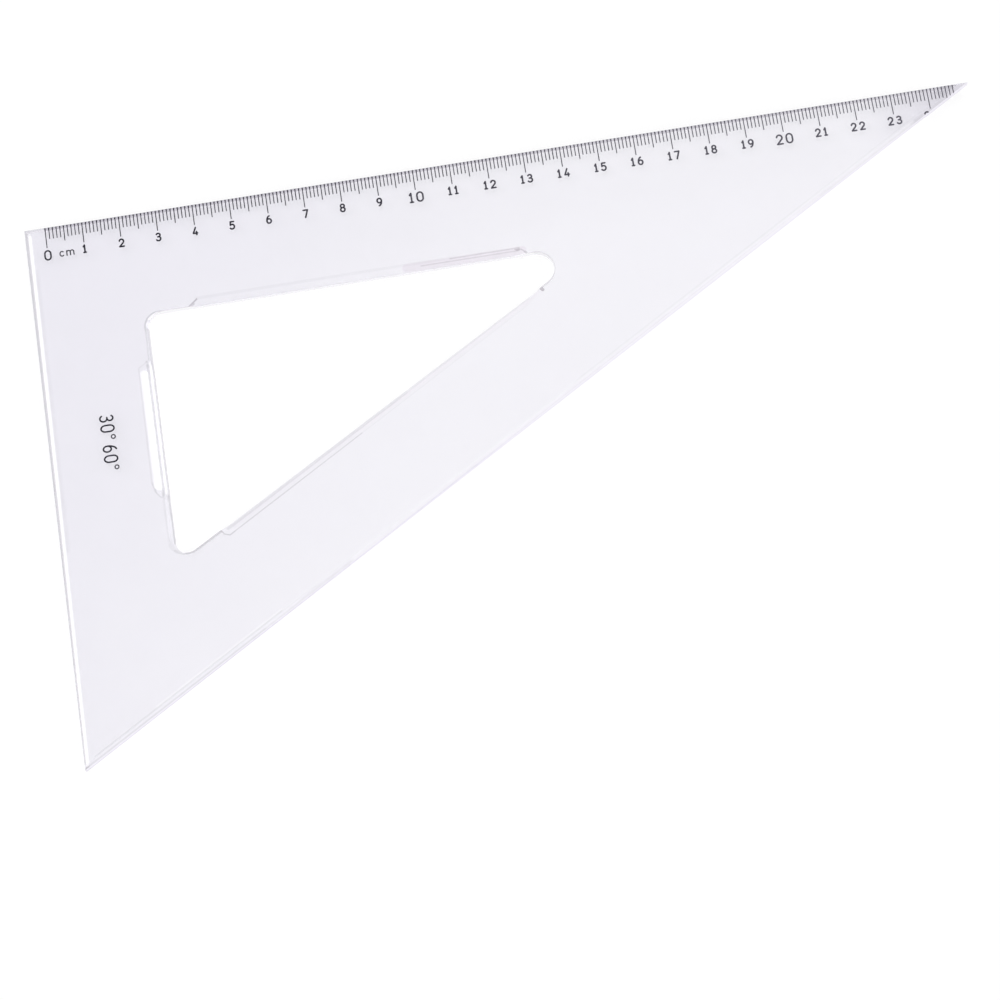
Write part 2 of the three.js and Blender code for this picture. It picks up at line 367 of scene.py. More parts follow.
@dataclass
class ClearPlate:
    """The moulded triangle, with its window, finger lifts and ink relief.

    Sizes are in millimetres and angles in degrees.
    """

    triangle: Triangle
    ruled_band: float = 28.7
    short_band: float = 29.87
    long_band_at_foot: float = 28.7
    long_band_at_tip: float = 27.6
    radii: tuple[float, float, float] = (4.0, 3.3, 4.7)
    slope_width: float = 1.55
    slope_depth: float = 1.4
    relief_depth: float = 0.6
    short_relief: float = 1.6
    long_relief: float = 1.3
    lift_width: float = 2.1
    lift_depth: float = 1.1
    lift_slant: float = 2.2
    ruled_lift_gaps: Point = (11.3, 19.9)
    long_lift_gaps: Point = (19.8, 13.8)
    short_lift_gaps: Point = (17.5, 12.7)
    short_lift: Point = (3.7, 1.05)
    short_lift_heel: Point = (2.8, 1.4)
    square_slope: float = 0.8
    relief_end: float = 12.0
    corner_facets: int = 72
    least_facet: float = 0.12
    edge_radius: float = 0.1
    edge_segments: int = 2
    rounded_angle: float = 25.0
    smooth_angle: float = 60.0
    face_weight: int = 100

    @property
    def corners(self) -> tuple[WindowCorner, WindowCorner, WindowCorner]:
        """The window's corners.

        Returns:
            The square corner, the one at the foot and the one at the tip.
        """
        foot = self.triangle.at_x(self.short_band, self.long_band_at_foot)
        tip = self.triangle.at_y(-self.ruled_band, self.long_band_at_tip)
        places = ((self.short_band, -self.ruled_band), foot, tip)
        return tuple(
            WindowCorner(*place, radius) for place, radius in zip(places, self.radii)
        )

    def blank(self) -> Solid:
        """Models the plain triangular plate.

        Returns:
            The plate without window or bevels.
        """
        shape = self.triangle
        middle = shape.place(shape.length / 2, -shape.depth / 2, shape.thickness / 2)
        blank = block(Vector((shape.length, shape.depth, shape.thickness)) * MM, middle)
        slice_off(blank, shape.place(shape.length, 0.0), -shape.into)
        return blank

    def window_tool(self) -> Solid:
        """Models the window's solid: three round posts in a hull, leaning out on one side.

        Returns:
            The solid that is cut out of the plate.
        """
        shape = self.triangle
        knee = shape.thickness - self.slope_depth
        height = knee + OVERRUN
        posts = []
        for i, corner in enumerate(self.corners):
            x, y = corner.centre(self.corners[i - 1], self.corners[(i + 1) % 3])
            posts.append(self.post(x, y, corner.radius, knee - height, knee))
        tool = join(posts)
        edit(tool)
        bpy.ops.mesh.convex_hull()
        put_down()
        clean(tool, self.least_facet * MM)
        top = shape.place(0.0, 0.0, knee - MM).z
        edit(tool, lambda place: place.z > top)
        bpy.ops.mesh.extrude_region_move(
            TRANSFORM_OT_translate={"value": (0.0, 0.0, (self.slope_depth + OVERRUN) * MM)}
        )
        put_down()
        self.lean(tool)
        recalculate(tool)
        return tool

    def post(self, x: float, y: float, radius: float, low: float, high: float) -> Solid:
        """Models an upright round post, in plate coordinates.

        Args:
            x: The middle of the post.
            y: The middle of the post.
            radius: Its radius.
            low: The height of its lower end.
            high: The height of its upper end.

        Returns:
            The post.
        """
        put_down()
        bpy.ops.mesh.primitive_cylinder_add(
            vertices=self.corner_facets,
            radius=radius * MM,
            depth=(high - low) * MM,
            location=self.triangle.place(x, y, (low + high) / 2),
        )
        return settle(bpy.context.object)

    def lean(self, tool: Solid) -> None:
        """Leans the window tool's short side outwards, in one plane.

        Both corners move out as they are, so that their faces stay flat. Where the side
        leans out less, it begins to lean higher up.

        Args:
            tool: The window's solid with an upright wall.
        """
        shape = self.triangle
        square, foot, tip = self.corners
        top = shape.place(0.0, 0.0, shape.thickness + MM).z
        knee = shape.place(0.0, 0.0, shape.thickness - self.slope_depth - MM).z
        half = shape.place(0.0, (square.y + foot.y) / 2).y
        steepness = self.slope_width / self.slope_depth
        corners = (
            (shape.place(*square.centre(tip, foot)), 1, self.square_slope),
            (shape.place(*foot.centre(square, tip)), -1, self.slope_width),
        )
        for pivot, upper, slope in corners:

            def ours(place: Vector, reach: float) -> bool:
                """True for the vertices of this corner, up to a distance beyond its centre."""
                return place.x < pivot.x + reach and (place.y - half) * upper > 0

            edit(tool, lambda place: place.z > top and ours(place, 0.0))
            shift = (slope + steepness * OVERRUN) * MM
            bpy.ops.transform.translate(value=(-shift, 0.0, 0.0))
            put_down()
            edit(tool, lambda place: knee < place.z < top and ours(place, MM * MM))
            climb = (self.slope_depth - slope / steepness) * MM
            bpy.ops.transform.translate(value=(0.0, 0.0, climb))
            put_down()

    def bevels(self) -> list[BevelCut]:
        """Lists the ink relief under both ruling edges and the finger lifts round the window.

        Returns:
            The bevels, in the order in which they are cut.
        """
        shape = self.triangle
        square, foot, tip = (Vector((corner.x, corner.y)) for corner in self.corners)
        top_left, low_left = (0.0, OVERRUN), (0.0, -shape.depth - OVERRUN)
        past_foot = shape.at_x(-OVERRUN, 0.0)
        near_tip = shape.at_x(shape.length - self.relief_end, 0.0)
        relief, slant = self.relief_depth, self.lift_slant

        def lift(start: Vector, end: Vector, gaps: Point, size: Point) -> BevelCut:
            """Sets out one finger lift between two window corners, clear of both.

            Args:
                start: The first corner.
                end: The second corner.
                gaps: The room left at each of them.
                size: The lift's width and depth.

            Returns:
                The lift's bevel.
            """
            along = (end - start).normalized()
            first, last = start + along * gaps[0], end - along * gaps[1]
            return BevelCut(tuple(first), tuple(last), *size, Side.TOP, slant)

        plain = (self.lift_width, self.lift_depth)
        return [
            BevelCut(top_left, low_left, self.short_relief, relief, Side.UNDERSIDE),
            BevelCut(past_foot, near_tip, self.long_relief, relief, Side.UNDERSIDE, slant),
            lift(square, tip, self.ruled_lift_gaps, plain),
            lift(tip, foot, self.long_lift_gaps, plain),
            lift(foot, square, self.short_lift_gaps, self.short_lift),
            lift(foot, square, self.short_lift_gaps, self.short_lift_heel),
        ]

    def build(self) -> Solid:
        """Models the plate: blank, window, bevels and small edge radii.

        Returns:
            The finished plate.
        """
        plate = combine(self.blank(), self.window_tool(), "DIFFERENCE")
        for bevel in self.bevels():
            combine(plate, bevel.tool(self.triangle), "DIFFERENCE")
        apply(
            plate,
            "BEVEL",
            width=self.edge_radius * MM,
            segments=self.edge_segments,
            limit_method="ANGLE",
            angle_limit=math.radians(self.rounded_angle),
            use_clamp_overlap=False,
        )
        take(plate)
        bpy.ops.object.shade_smooth_by_angle(angle=math.radians(self.smooth_angle))
        weighting = {"mode": "FACE_AREA", "weight": self.face_weight, "keep_sharp": True}
        apply(plate, "WEIGHTED_NORMAL", **weighting)
        plate.name = "clear_plate"
        return plate


@dataclass(frozen=True)
class StrokeRow:
    """A row of equal strokes: how long each is, where it starts and how often it repeats."""

    length: float
    first: float
    repeats: tuple[tuple[int, float], ...]


@dataclass
class RuledScale:
    """The printed strokes along the graduated edge."""

    triangle: Triangle
    zero: float = 5.6
    last_from_tip: float = 4.4
    divisions: int = 247
    stroke: float = 0.26
    head_stroke: float = 0.40
    head: float = 0.9
    film: float = 0.05
    inset: float = 0.1
    shoulder: float = 0.8
    lengths: tuple[float, float, float] = (3.35, 4.45, 5.85)

    @property
    def pitch(self) -> float:
        """The distance between neighbouring strokes, in millimetres."""
        return (self.triangle.length - self.zero - self.last_from_tip) / self.divisions

    def rows(self) -> tuple[StrokeRow, ...]:
        """Sets out the millimetre, half centimetre and centimetre strokes.

        Returns:
            The three rows.
        """
        short, middle, long = self.lengths
        centimetres = (self.divisions // 10 + 1, 10 * self.pitch)
        # Four short strokes in a row, twice in each centimetre
        return (
            StrokeRow(short, 1.0, ((4, self.pitch), (2, 5 * self.pitch), centimetres)),
            StrokeRow(middle, 5.0, (centimetres,)),
            StrokeRow(long, 0.0, (centimetres,)),
        )

    def row(self, row: StrokeRow) -> Solid:
        """Models one stroke of a row and repeats it along the edge.

        Args:
            row: The row's sizes.

        Returns:
            All strokes of the row.
        """
        shape = self.triangle
        x = self.zero + row.first * self.pitch
        run = row.length - self.inset
        middle = shape.place(x, -self.inset - run / 2, shape.thickness + self.film / 2)
        stroke = block(Vector((self.stroke, run, self.film)) * MM, middle)
        head = shape.place(x, -self.head)
        edit(stroke)
        bpy.ops.mesh.bisect(plane_co=head, plane_no=(0, 1, 0))
        put_down()
        edge = shape.place(x, -self.inset, 0.0)
        edit(stroke, lambda place: place.y > head.y + MM * self.inset)
        wide = self.head_stroke / self.stroke
        bpy.ops.transform.resize(value=(wide, 1, 1), center_override=edge)
        put_down()
        edit(stroke, lambda place: place.z > middle.z)
        bpy.ops.transform.resize(value=(self.shoulder, 1, 1), center_override=edge)
        put_down()
        for count, step in row.repeats:
            apply(
                stroke,
                "ARRAY",
                count=count,
                use_relative_offset=False,
                use_constant_offset=True,
                constant_offset_displace=(step * MM, 0.0, 0.0),
            )
        return stroke

    def build(self) -> Solid:
        """Models all strokes and trims them at the last one and at the slanting edge.

        Returns:
            The strokes as one piece.
        """
        shape = self.triangle
        strokes = join([self.row(row) for row in self.rows()])
        last = self.zero + (self.divisions + 0.5) * self.pitch
        slice_off(strokes, shape.place(last, 0.0), Vector((1, 0, 0)))
        rim = shape.place(*shape.at_y(0.0, self.inset))
        slice_off(strokes, rim, -shape.into)
        strokes.name = "ruled_strokes"
        return strokes


def bow(centre: Point, radii: Point, start: float, end: float) -> list[Point]:
    """Points along part of an oval.

    Args:
        centre: The oval's centre, in shares of a character's box.
        radii: Its half width and half height.
        start: The angle of the first point, in degrees.
        end: The angle of the last point.

    Returns:
        The points.
    """
    steps = max(1, round(abs(end - start) / CURVE_STEP))
    angles = (math.radians(start + (end - start) * i / steps) for i in range(steps + 1))
    return [
        (centre[0] + radii[0] * math.cos(a), centre[1] + radii[1] * math.sin(a))
        for a in angles
    ]


@dataclass(frozen=True)
class PenLine:
    """The pen's way through part of a character, in shares of the character's box."""

    points: tuple[Point, ...]
    closed: bool = False


def line(*points: Point) -> PenLine:
    """An open pen line."""
    return PenLine(tuple(points))


def ring(*points: Point) -> PenLine:
    """A closed pen line, whose last point is dropped because it repeats the first."""
    return PenLine(tuple(points[:-1]), closed=True)


CHARACTERS: dict[str, tuple[PenLine, ...]] = {
    "0": (
        ring(
            *bow((0.5, 0.66), (0.5, 0.34), 0, 180),
            *bow((0.5, 0.34), (0.5, 0.34), 180, 360),
            (1.0, 0.66),
        ),
    ),
    "1": (line((0, 0.78), (0.5, 1)), line((0.5, 1), (0.5, 0)), line((0, 0), (1, 0))),
    "2": (line(*bow((0.5, 0.7), (0.5, 0.3), 165, -30), (0, 0)), line((0, 0), (1, 0))),
    "3": (
        line(*bow((0.48, 0.77), (0.44, 0.23), 150, -90), (0.36, 0.54)),
        line((0.36, 0.54), *bow((0.48, 0.27), (0.52, 0.27), 90, -150)),
    ),
    "4": (
        line((0.62, 1), (0, 0.22)),
        line((0, 0.22), (1, 0.22)),
        line((0.77, 0.42), (0.77, 0)),
    ),
    "5": (
        line((0.92, 1), (0.16, 1)),
        line((0.16, 1), (0.1, 0.54)),
        line((0.1, 0.54), *bow((0.46, 0.32), (0.54, 0.32), 105, -145)),
    ),
    "6": (
        ring(*bow((0.5, 0.3), (0.5, 0.3), 0, 360)),
        line(*bow((0.75, 0.32), (0.75, 0.68), 175, 100)),
    ),
    "7": (line((0, 1), (1, 1)), line((1, 1), (0.35, 0))),
    "8": (
        ring(*bow((0.5, 0.77), (0.43, 0.23), 0, 360)),
        ring(*bow((0.5, 0.27), (0.5, 0.27), 0, 360)),
    ),
    "9": (
        ring(*bow((0.5, 0.7), (0.5, 0.3), 0, 360)),
        line(*bow((0.25, 0.68), (0.75, 0.68), -5, -80)),
    ),
    "c": (line(*bow((0.55, 0.5), (0.55, 0.5), 50, 310)),),
    "m": (
        line((0, 0), (0, 1)),
        line(*bow((0.25, 0.66), (0.25, 0.34), 180, 0), (0.5, 0)),
        line(*bow((0.75, 0.66), (0.25, 0.34), 180, 0), (1, 0)),
    ),
    "ring": (ring(*bow((0.5, 0.5), (0.5, 0.5), 0, 360)),),
}


@dataclass(frozen=True)
class Letter:
    """One printed character: its lower left corner, its box and its pen, in millimetres."""

    character: str
    x: float
    y: float
    width: float
    height: float
    pen: float

    def tube(self, pen_line: PenLine) -> Solid:
        """Models one pen line as a round tube with round ends, in the character's own place.

        Args:
            pen_line: The line, in shares of the box.

        Returns:
            The tube.
        """
        left, foot = self.x + self.pen / 2, self.y + self.pen / 2
        width, height = self.width - self.pen, self.height - self.pen
        path = [
            (Vector((left + x * width, foot + y * height, 0.0)), 1.0)
            for x, y in pen_line.points
        ]
        if not pen_line.closed:
            path = self.rounded(path)
        curve = bpy.data.curves.new("pen_line", "CURVE")
        curve.dimensions = "3D"
        curve.bevel_depth = self.pen / 2
        curve.bevel_resolution = PEN_ROUNDNESS
        curve.use_fill_caps = True
        spline = curve.splines.new("POLY")
        spline.points.add(len(path) - 1)
        for point, (place, radius) in zip(spline.points, path):
            point.co = (*place, 1.0)
            point.radius = radius
        spline.use_cyclic_u = pen_line.closed
        tube = bpy.data.objects.new("pen_line", curve)
        bpy.context.scene.collection.objects.link(tube)
        take(tube)
        bpy.ops.object.convert(target="MESH")
        return clean(bpy.context.object, self.pen / PEN_PARTS)

    def rounded(self, path: list[tuple[Vector, float]]) -> list[tuple[Vector, float]]:
        """Adds a round cap to each end of a path.

        Args:
            path: The path's points, each with its share of the pen's width.

        Returns:
            The longer path.
        """
        caps = []
        for end, inner in ((path[0][0], path[1][0]), (path[-1][0], path[-2][0])):
            out = (end - inner).normalized() * self.pen / 2
            angles = [math.radians(angle) for angle in CAP_ANGLES]
            caps.append([(end + out * math.sin(a), math.cos(a)) for a in angles])
        return [*reversed(caps[0]), *path, *caps[1]]

    def build(self) -> Solid:
        """Models the character as one closed round solid.

        Returns:
            The character.
        """
        tubes = [self.tube(pen_line) for pen_line in CHARACTERS[self.character]]
        for tube in tubes:
            recalculate(tube)
        body = tubes[0]
        for tube in tubes[1:]:
            combine(body, tube, "UNION")
        return body


@dataclass(frozen=True)
class Word:
    """Letters that are printed together, and the frame nodes they stand for."""

    name: str
    letters: tuple[Letter, ...]
    nodes: tuple[str, ...]
    turned: bool = False
    start: Point = (0.0, 0.0)


@dataclass
class Lettering:
    """All printed numbers and the unit, laid out as on the frame."""

    triangle: Triangle
    scale: RuledScale
    clearance: float = 0.55
    height: float = 2.55
    width: float = 1.6
    large_height: float = 3.05
    large_width: float = 1.9
    gap: float = 0.7
    pen: float = 0.46
    unit_letters: tuple[tuple[str, float, float], ...] = (("c", 8.7, 1.3), ("m", 10.55, 2.2))
    unit_height: float = 1.65
    angle_box: Point = (2.05, 3.9)
    angle_gap: float = 0.65
    angle_pen: float = 0.45
    angle_space: float = 1.5
    angle_start: Point = (14.0, -55.0)
    ring: float = 1.35
    fine_pen: float = 0.32
    smooth_angle: float = 50.0

    @property
    def drop(self) -> float:
        """How far below the graduated edge the numbers start."""
        return self.scale.rows()[-1].length + self.clearance

    def spread(
        self, text: Sequence[str], x: float, y: float, box: Point, gap: float, pen: float
    ) -> tuple[Letter, ...]:
        """Lays characters out beside each other.

        Args:
            text: The characters.
            x: The left end.
            y: The foot of the characters.
            box: The common width and height.
            gap: The space between characters.
            pen: The pen's width.

        Returns:
            The letters.
        """
        letters = []
        for character in text:
            width = box[0] * WIDTH_SHARES.get(character, 1.0)
            letters.append(Letter(character, x, y, width, box[1], pen))
            x += width + gap
        return tuple(letters)

    def number(self, value: int, cut: bool = False) -> Word:
        """The word for one number of the scale.

        Args:
            value: The number.
            cut: True for the number of which the slanting edge leaves one digit's scrap.

        Returns:
            The word.
        """
        text = str(value)
        large = value % 10 == 0
        box = (self.large_width, self.large_height) if large else (self.width, self.height)
        letters = self.spread(text, 0.0, -self.drop - box[1], box, self.gap, self.pen)
        middle = (letters[-1].x + letters[-1].width) / 2
        x = self.scale.zero + value * 10 * self.scale.pitch - middle
        letters = tuple(replace(letter, x=x + letter.x) for letter in letters)
        places = ("tens", "units")[-len(text):]
        if cut:
            return Word(f"number_{value}_scrap", letters[:1], ())
        return Word(f"number_{value}", letters, tuple(f"numeral_{value}_{p}" for p in places))

    def unit(self) -> Word:
        """Sets out the unit beside the zero.

        Returns:
            The word.
        """
        y = -self.drop - self.height
        letters = tuple(
            Letter(character, x, y, width, self.unit_height, self.fine_pen)
            for character, x, width in self.unit_letters
        )
        return Word("unit", letters, ("unit_letter_c", "unit_letter_m"))

    def angles(self) -> Word:
        """Sets out the two angle numbers beside the window, read downwards.

        Returns:
            The word.
        """
        letters: list[Letter] = []
        nodes: list[str] = []
        x = 0.0
        for angle in ("30", "60"):
            digits = self.spread(angle, x, 0.0, self.angle_box, self.angle_gap, self.angle_pen)
            x = digits[-1].x + digits[-1].width + self.angle_gap
            foot = self.angle_box[1] - self.ring
            letters += [*digits, Letter("ring", x, foot, self.ring, self.ring, self.fine_pen)]
            nodes += [f"angle_{angle}_{part}" for part in ("tens", "units", "ring")]
            x += self.ring + self.angle_space
        return Word("angle_numbers", tuple(letters), tuple(nodes), True, self.angle_start)

    def words(self) -> list[Word]:
        """Lists every printed word.

        Returns:
            The numbers, the unit and the angle numbers.
        """
        last = self.scale.divisions // 10
        numbers = [self.number(value) for value in range(last)]
        return [*numbers, self.number(last, cut=True), self.unit(), self.angles()]

    def offcut(self) -> Solid:
        """Models the room beyond the slanting edge, with the bare strip inside it.

        Returns:
            The block that is cut off a number.
        """
        shape = self.triangle
        offcut = block((shape.length * MM, OVERRUN * MM, OVERRUN * MM))
        middle = shape.at_x(shape.length, self.scale.inset - OVERRUN / 2)
        offcut.location = shape.place(*middle, shape.thickness)
        offcut.rotation_euler.z = shape.tip_angle
        return settle(offcut)

    def build(self, word: Word) -> Solid:
        """Models a word as thin domed ink on the plate.

        Args:
            word: The word.

        Returns:
            The piece, in its place.
        """
        shape = self.triangle
        piece = join([letter.build() for letter in word.letters])
        edit(piece, lambda place: place.z < 0)
        bpy.ops.transform.resize(value=(1, 1, 0), center_override=ORIGIN)
        put_down()
        pen = word.letters[0].pen
        piece.scale = (MM, MM, MM * self.scale.film * 2 / pen)
        settle(piece)
        piece.location = shape.place(*word.start, shape.thickness)
        piece.rotation_euler.z = -QUARTER_TURN if word.turned else 0.0
        settle(piece)
        if not word.nodes:
            combine(piece, self.offcut(), "DIFFERENCE")
        take(piece)
        bpy.ops.object.shade_smooth_by_angle(angle=math.radians(self.smooth_angle))
        piece.name = word.name
        return piece


# Finishes


class NodeSheet:
    """A node tree with one method for each kind of step."""

    # The Mix node's colour sockets
    MIX_A, MIX_B, MIX_RESULT = 6, 7, 2

    def __init__(self, tree: bpy.types.NodeTree) -> None:
        """Empties the tree.

        Args:
            tree: The tree of a material or of the world.
        """
        self.tree = tree
        tree.nodes.clear()

    def add(
        self, kind: str, inputs: dict[str | int, object], **settings: object
    ) -> bpy.types.Node:
        """Adds a node.

        Args:
            kind: The node's type, without its common first part.
            inputs: A value or a socket for some of its inputs.
            **settings: Values for the node's own fields.

        Returns:
            The node.
        """
        node = self.tree.nodes.new("ShaderNode" + kind)
        for field_name, value in settings.items():
            setattr(node, field_name, value)
        for key, value in inputs.items():
            if isinstance(value, Socket):
                self.tree.links.new(value, node.inputs[key])
            else:
                node.inputs[key].default_value = value
        return node

    def sum(self, operation: str, *values: object, clamp: bool = False) -> Socket:
        """A Math node's result."""
        inputs = dict(enumerate(values))
        return self.add("Math", inputs, operation=operation, use_clamp=clamp).outputs[0]

    def ramp(self, value: object, low: float, high: float, a: float, b: float) -> Socket:
        """A value carried smoothly from one range to another.

        Args:
            value: The value.
            low: Where the result is a.
            high: Where the result is b.
            a: The result at low.
            b: The result at high.

        Returns:
            The result.
        """
        inputs = {"Value": value, "From Min": low, "From Max": high, "To Min": a, "To Max": b}
        return self.add("MapRange", inputs, interpolation_type="SMOOTHSTEP").outputs[0]

    def blend(self, factor: object, a: object, b: object) -> Socket:
        """A colour between two colours."""
        inputs = {0: factor, self.MIX_A: a, self.MIX_B: b}
        return self.add("Mix", inputs, data_type="RGBA").outputs[self.MIX_RESULT]

    def vector(self, operation: str, *values: object) -> bpy.types.NodeOutputs:
        """A Vector Math node's results."""
        return self.add("VectorMath", dict(enumerate(values)), operation=operation).outputs

    def noise(self, place: Socket, scale: float, detail: float = 2.0) -> Socket:
        """Cloudy noise between 0 and 1."""
        return self.add("TexNoise", {"Vector": place, "Scale": scale, "Detail": detail}).outputs[0]

    def tinted(self, colour: object, factor: object, tint: Colour) -> Socket:
        """Multiplies a colour by a tint, as far as a factor says.

        Args:
            colour: The colour.
            factor: None of the tint at 0, all of it at 1.
            tint: The tint.

        Returns:
            The tinted colour.
        """
        inputs = {0: factor, self.MIX_A: colour, self.MIX_B: tint}
        node = self.add("Mix", inputs, data_type="RGBA", blend_type="MULTIPLY")
        return node.outputs[self.MIX_RESULT]

    def largest(self, values: Sequence[Socket]) -> Socket:
        """Picks the largest of some values.

        Args:
            values: The values.

        Returns:
            The largest one.
        """
        top = values[0]
        for value in values[1:]:
            top = self.sum("MAXIMUM", top, value)
        return top

    def seen(self) -> Socket:
        """Finds the rays that show a surface: straight, mirrored or through clear plastic.

        Returns:
            One for those rays.
        """
        path = self.add("LightPath", {}).outputs
        mirrored = self.sum("MAXIMUM", path["Is Glossy Ray"], path["Is Transmission Ray"])
        return self.sum("MAXIMUM", path["Is Camera Ray"], mirrored)

    def finish(self, surface: Socket, kind: str = "Material") -> None:
        """Connects the output."""
        self.add("Output" + kind, {"Surface": surface})


def new_sheet(name: str) -> tuple[bpy.types.Material, NodeSheet]:
    """Starts a material.

    Args:
        name: Its name.

    Returns:
        The material and its node sheet.
    """
    material = bpy.data.materials.new(name)
    material.use_nodes = True
    return material, NodeSheet(material.node_tree)


def grey(level: float) -> Colour:
    """A neutral colour."""
    return level, level, level, 1.0


class Tone(Enum):
    """What a trace does to the colour of the plastic: the grey tone is painted shade, the white
    one is painted light, and the brown and mauve ones are grime.
    """

    # Painted shade: grey lines and bands along edges and walls
    GREY = (0.60, 0.60, 0.61, 1.0)
    BROWN = (0.30, 0.27, 0.30, 1.0)
    MAUVE = (0.84, 0.76, 0.82, 1.0)
    # Painted light: bright bands along edges and walls
    WHITE = (1.0, 1.0, 1.0, 1.0)


@dataclass(frozen=True)
class Trace:
    """A soft line or spot on the upper face, in millimetres from the square corner: painted shade,
    painted light or grime.

    It is full up to its reach on both sides of its middle line, and soft beyond.
    """

    tone: Tone
    start: Point
    end: Point
    reach: float
    strength: float = 1.0
    soft: float = 0.15


def chain(tone: Tone, points: Sequence[Point], reach: float, strength: float = 1.0) -> list[Trace]:
    """Traces that run from point to point."""
    ends = zip(points, points[1:])
    return [Trace(tone, start, end, reach, strength) for start, end in ends]


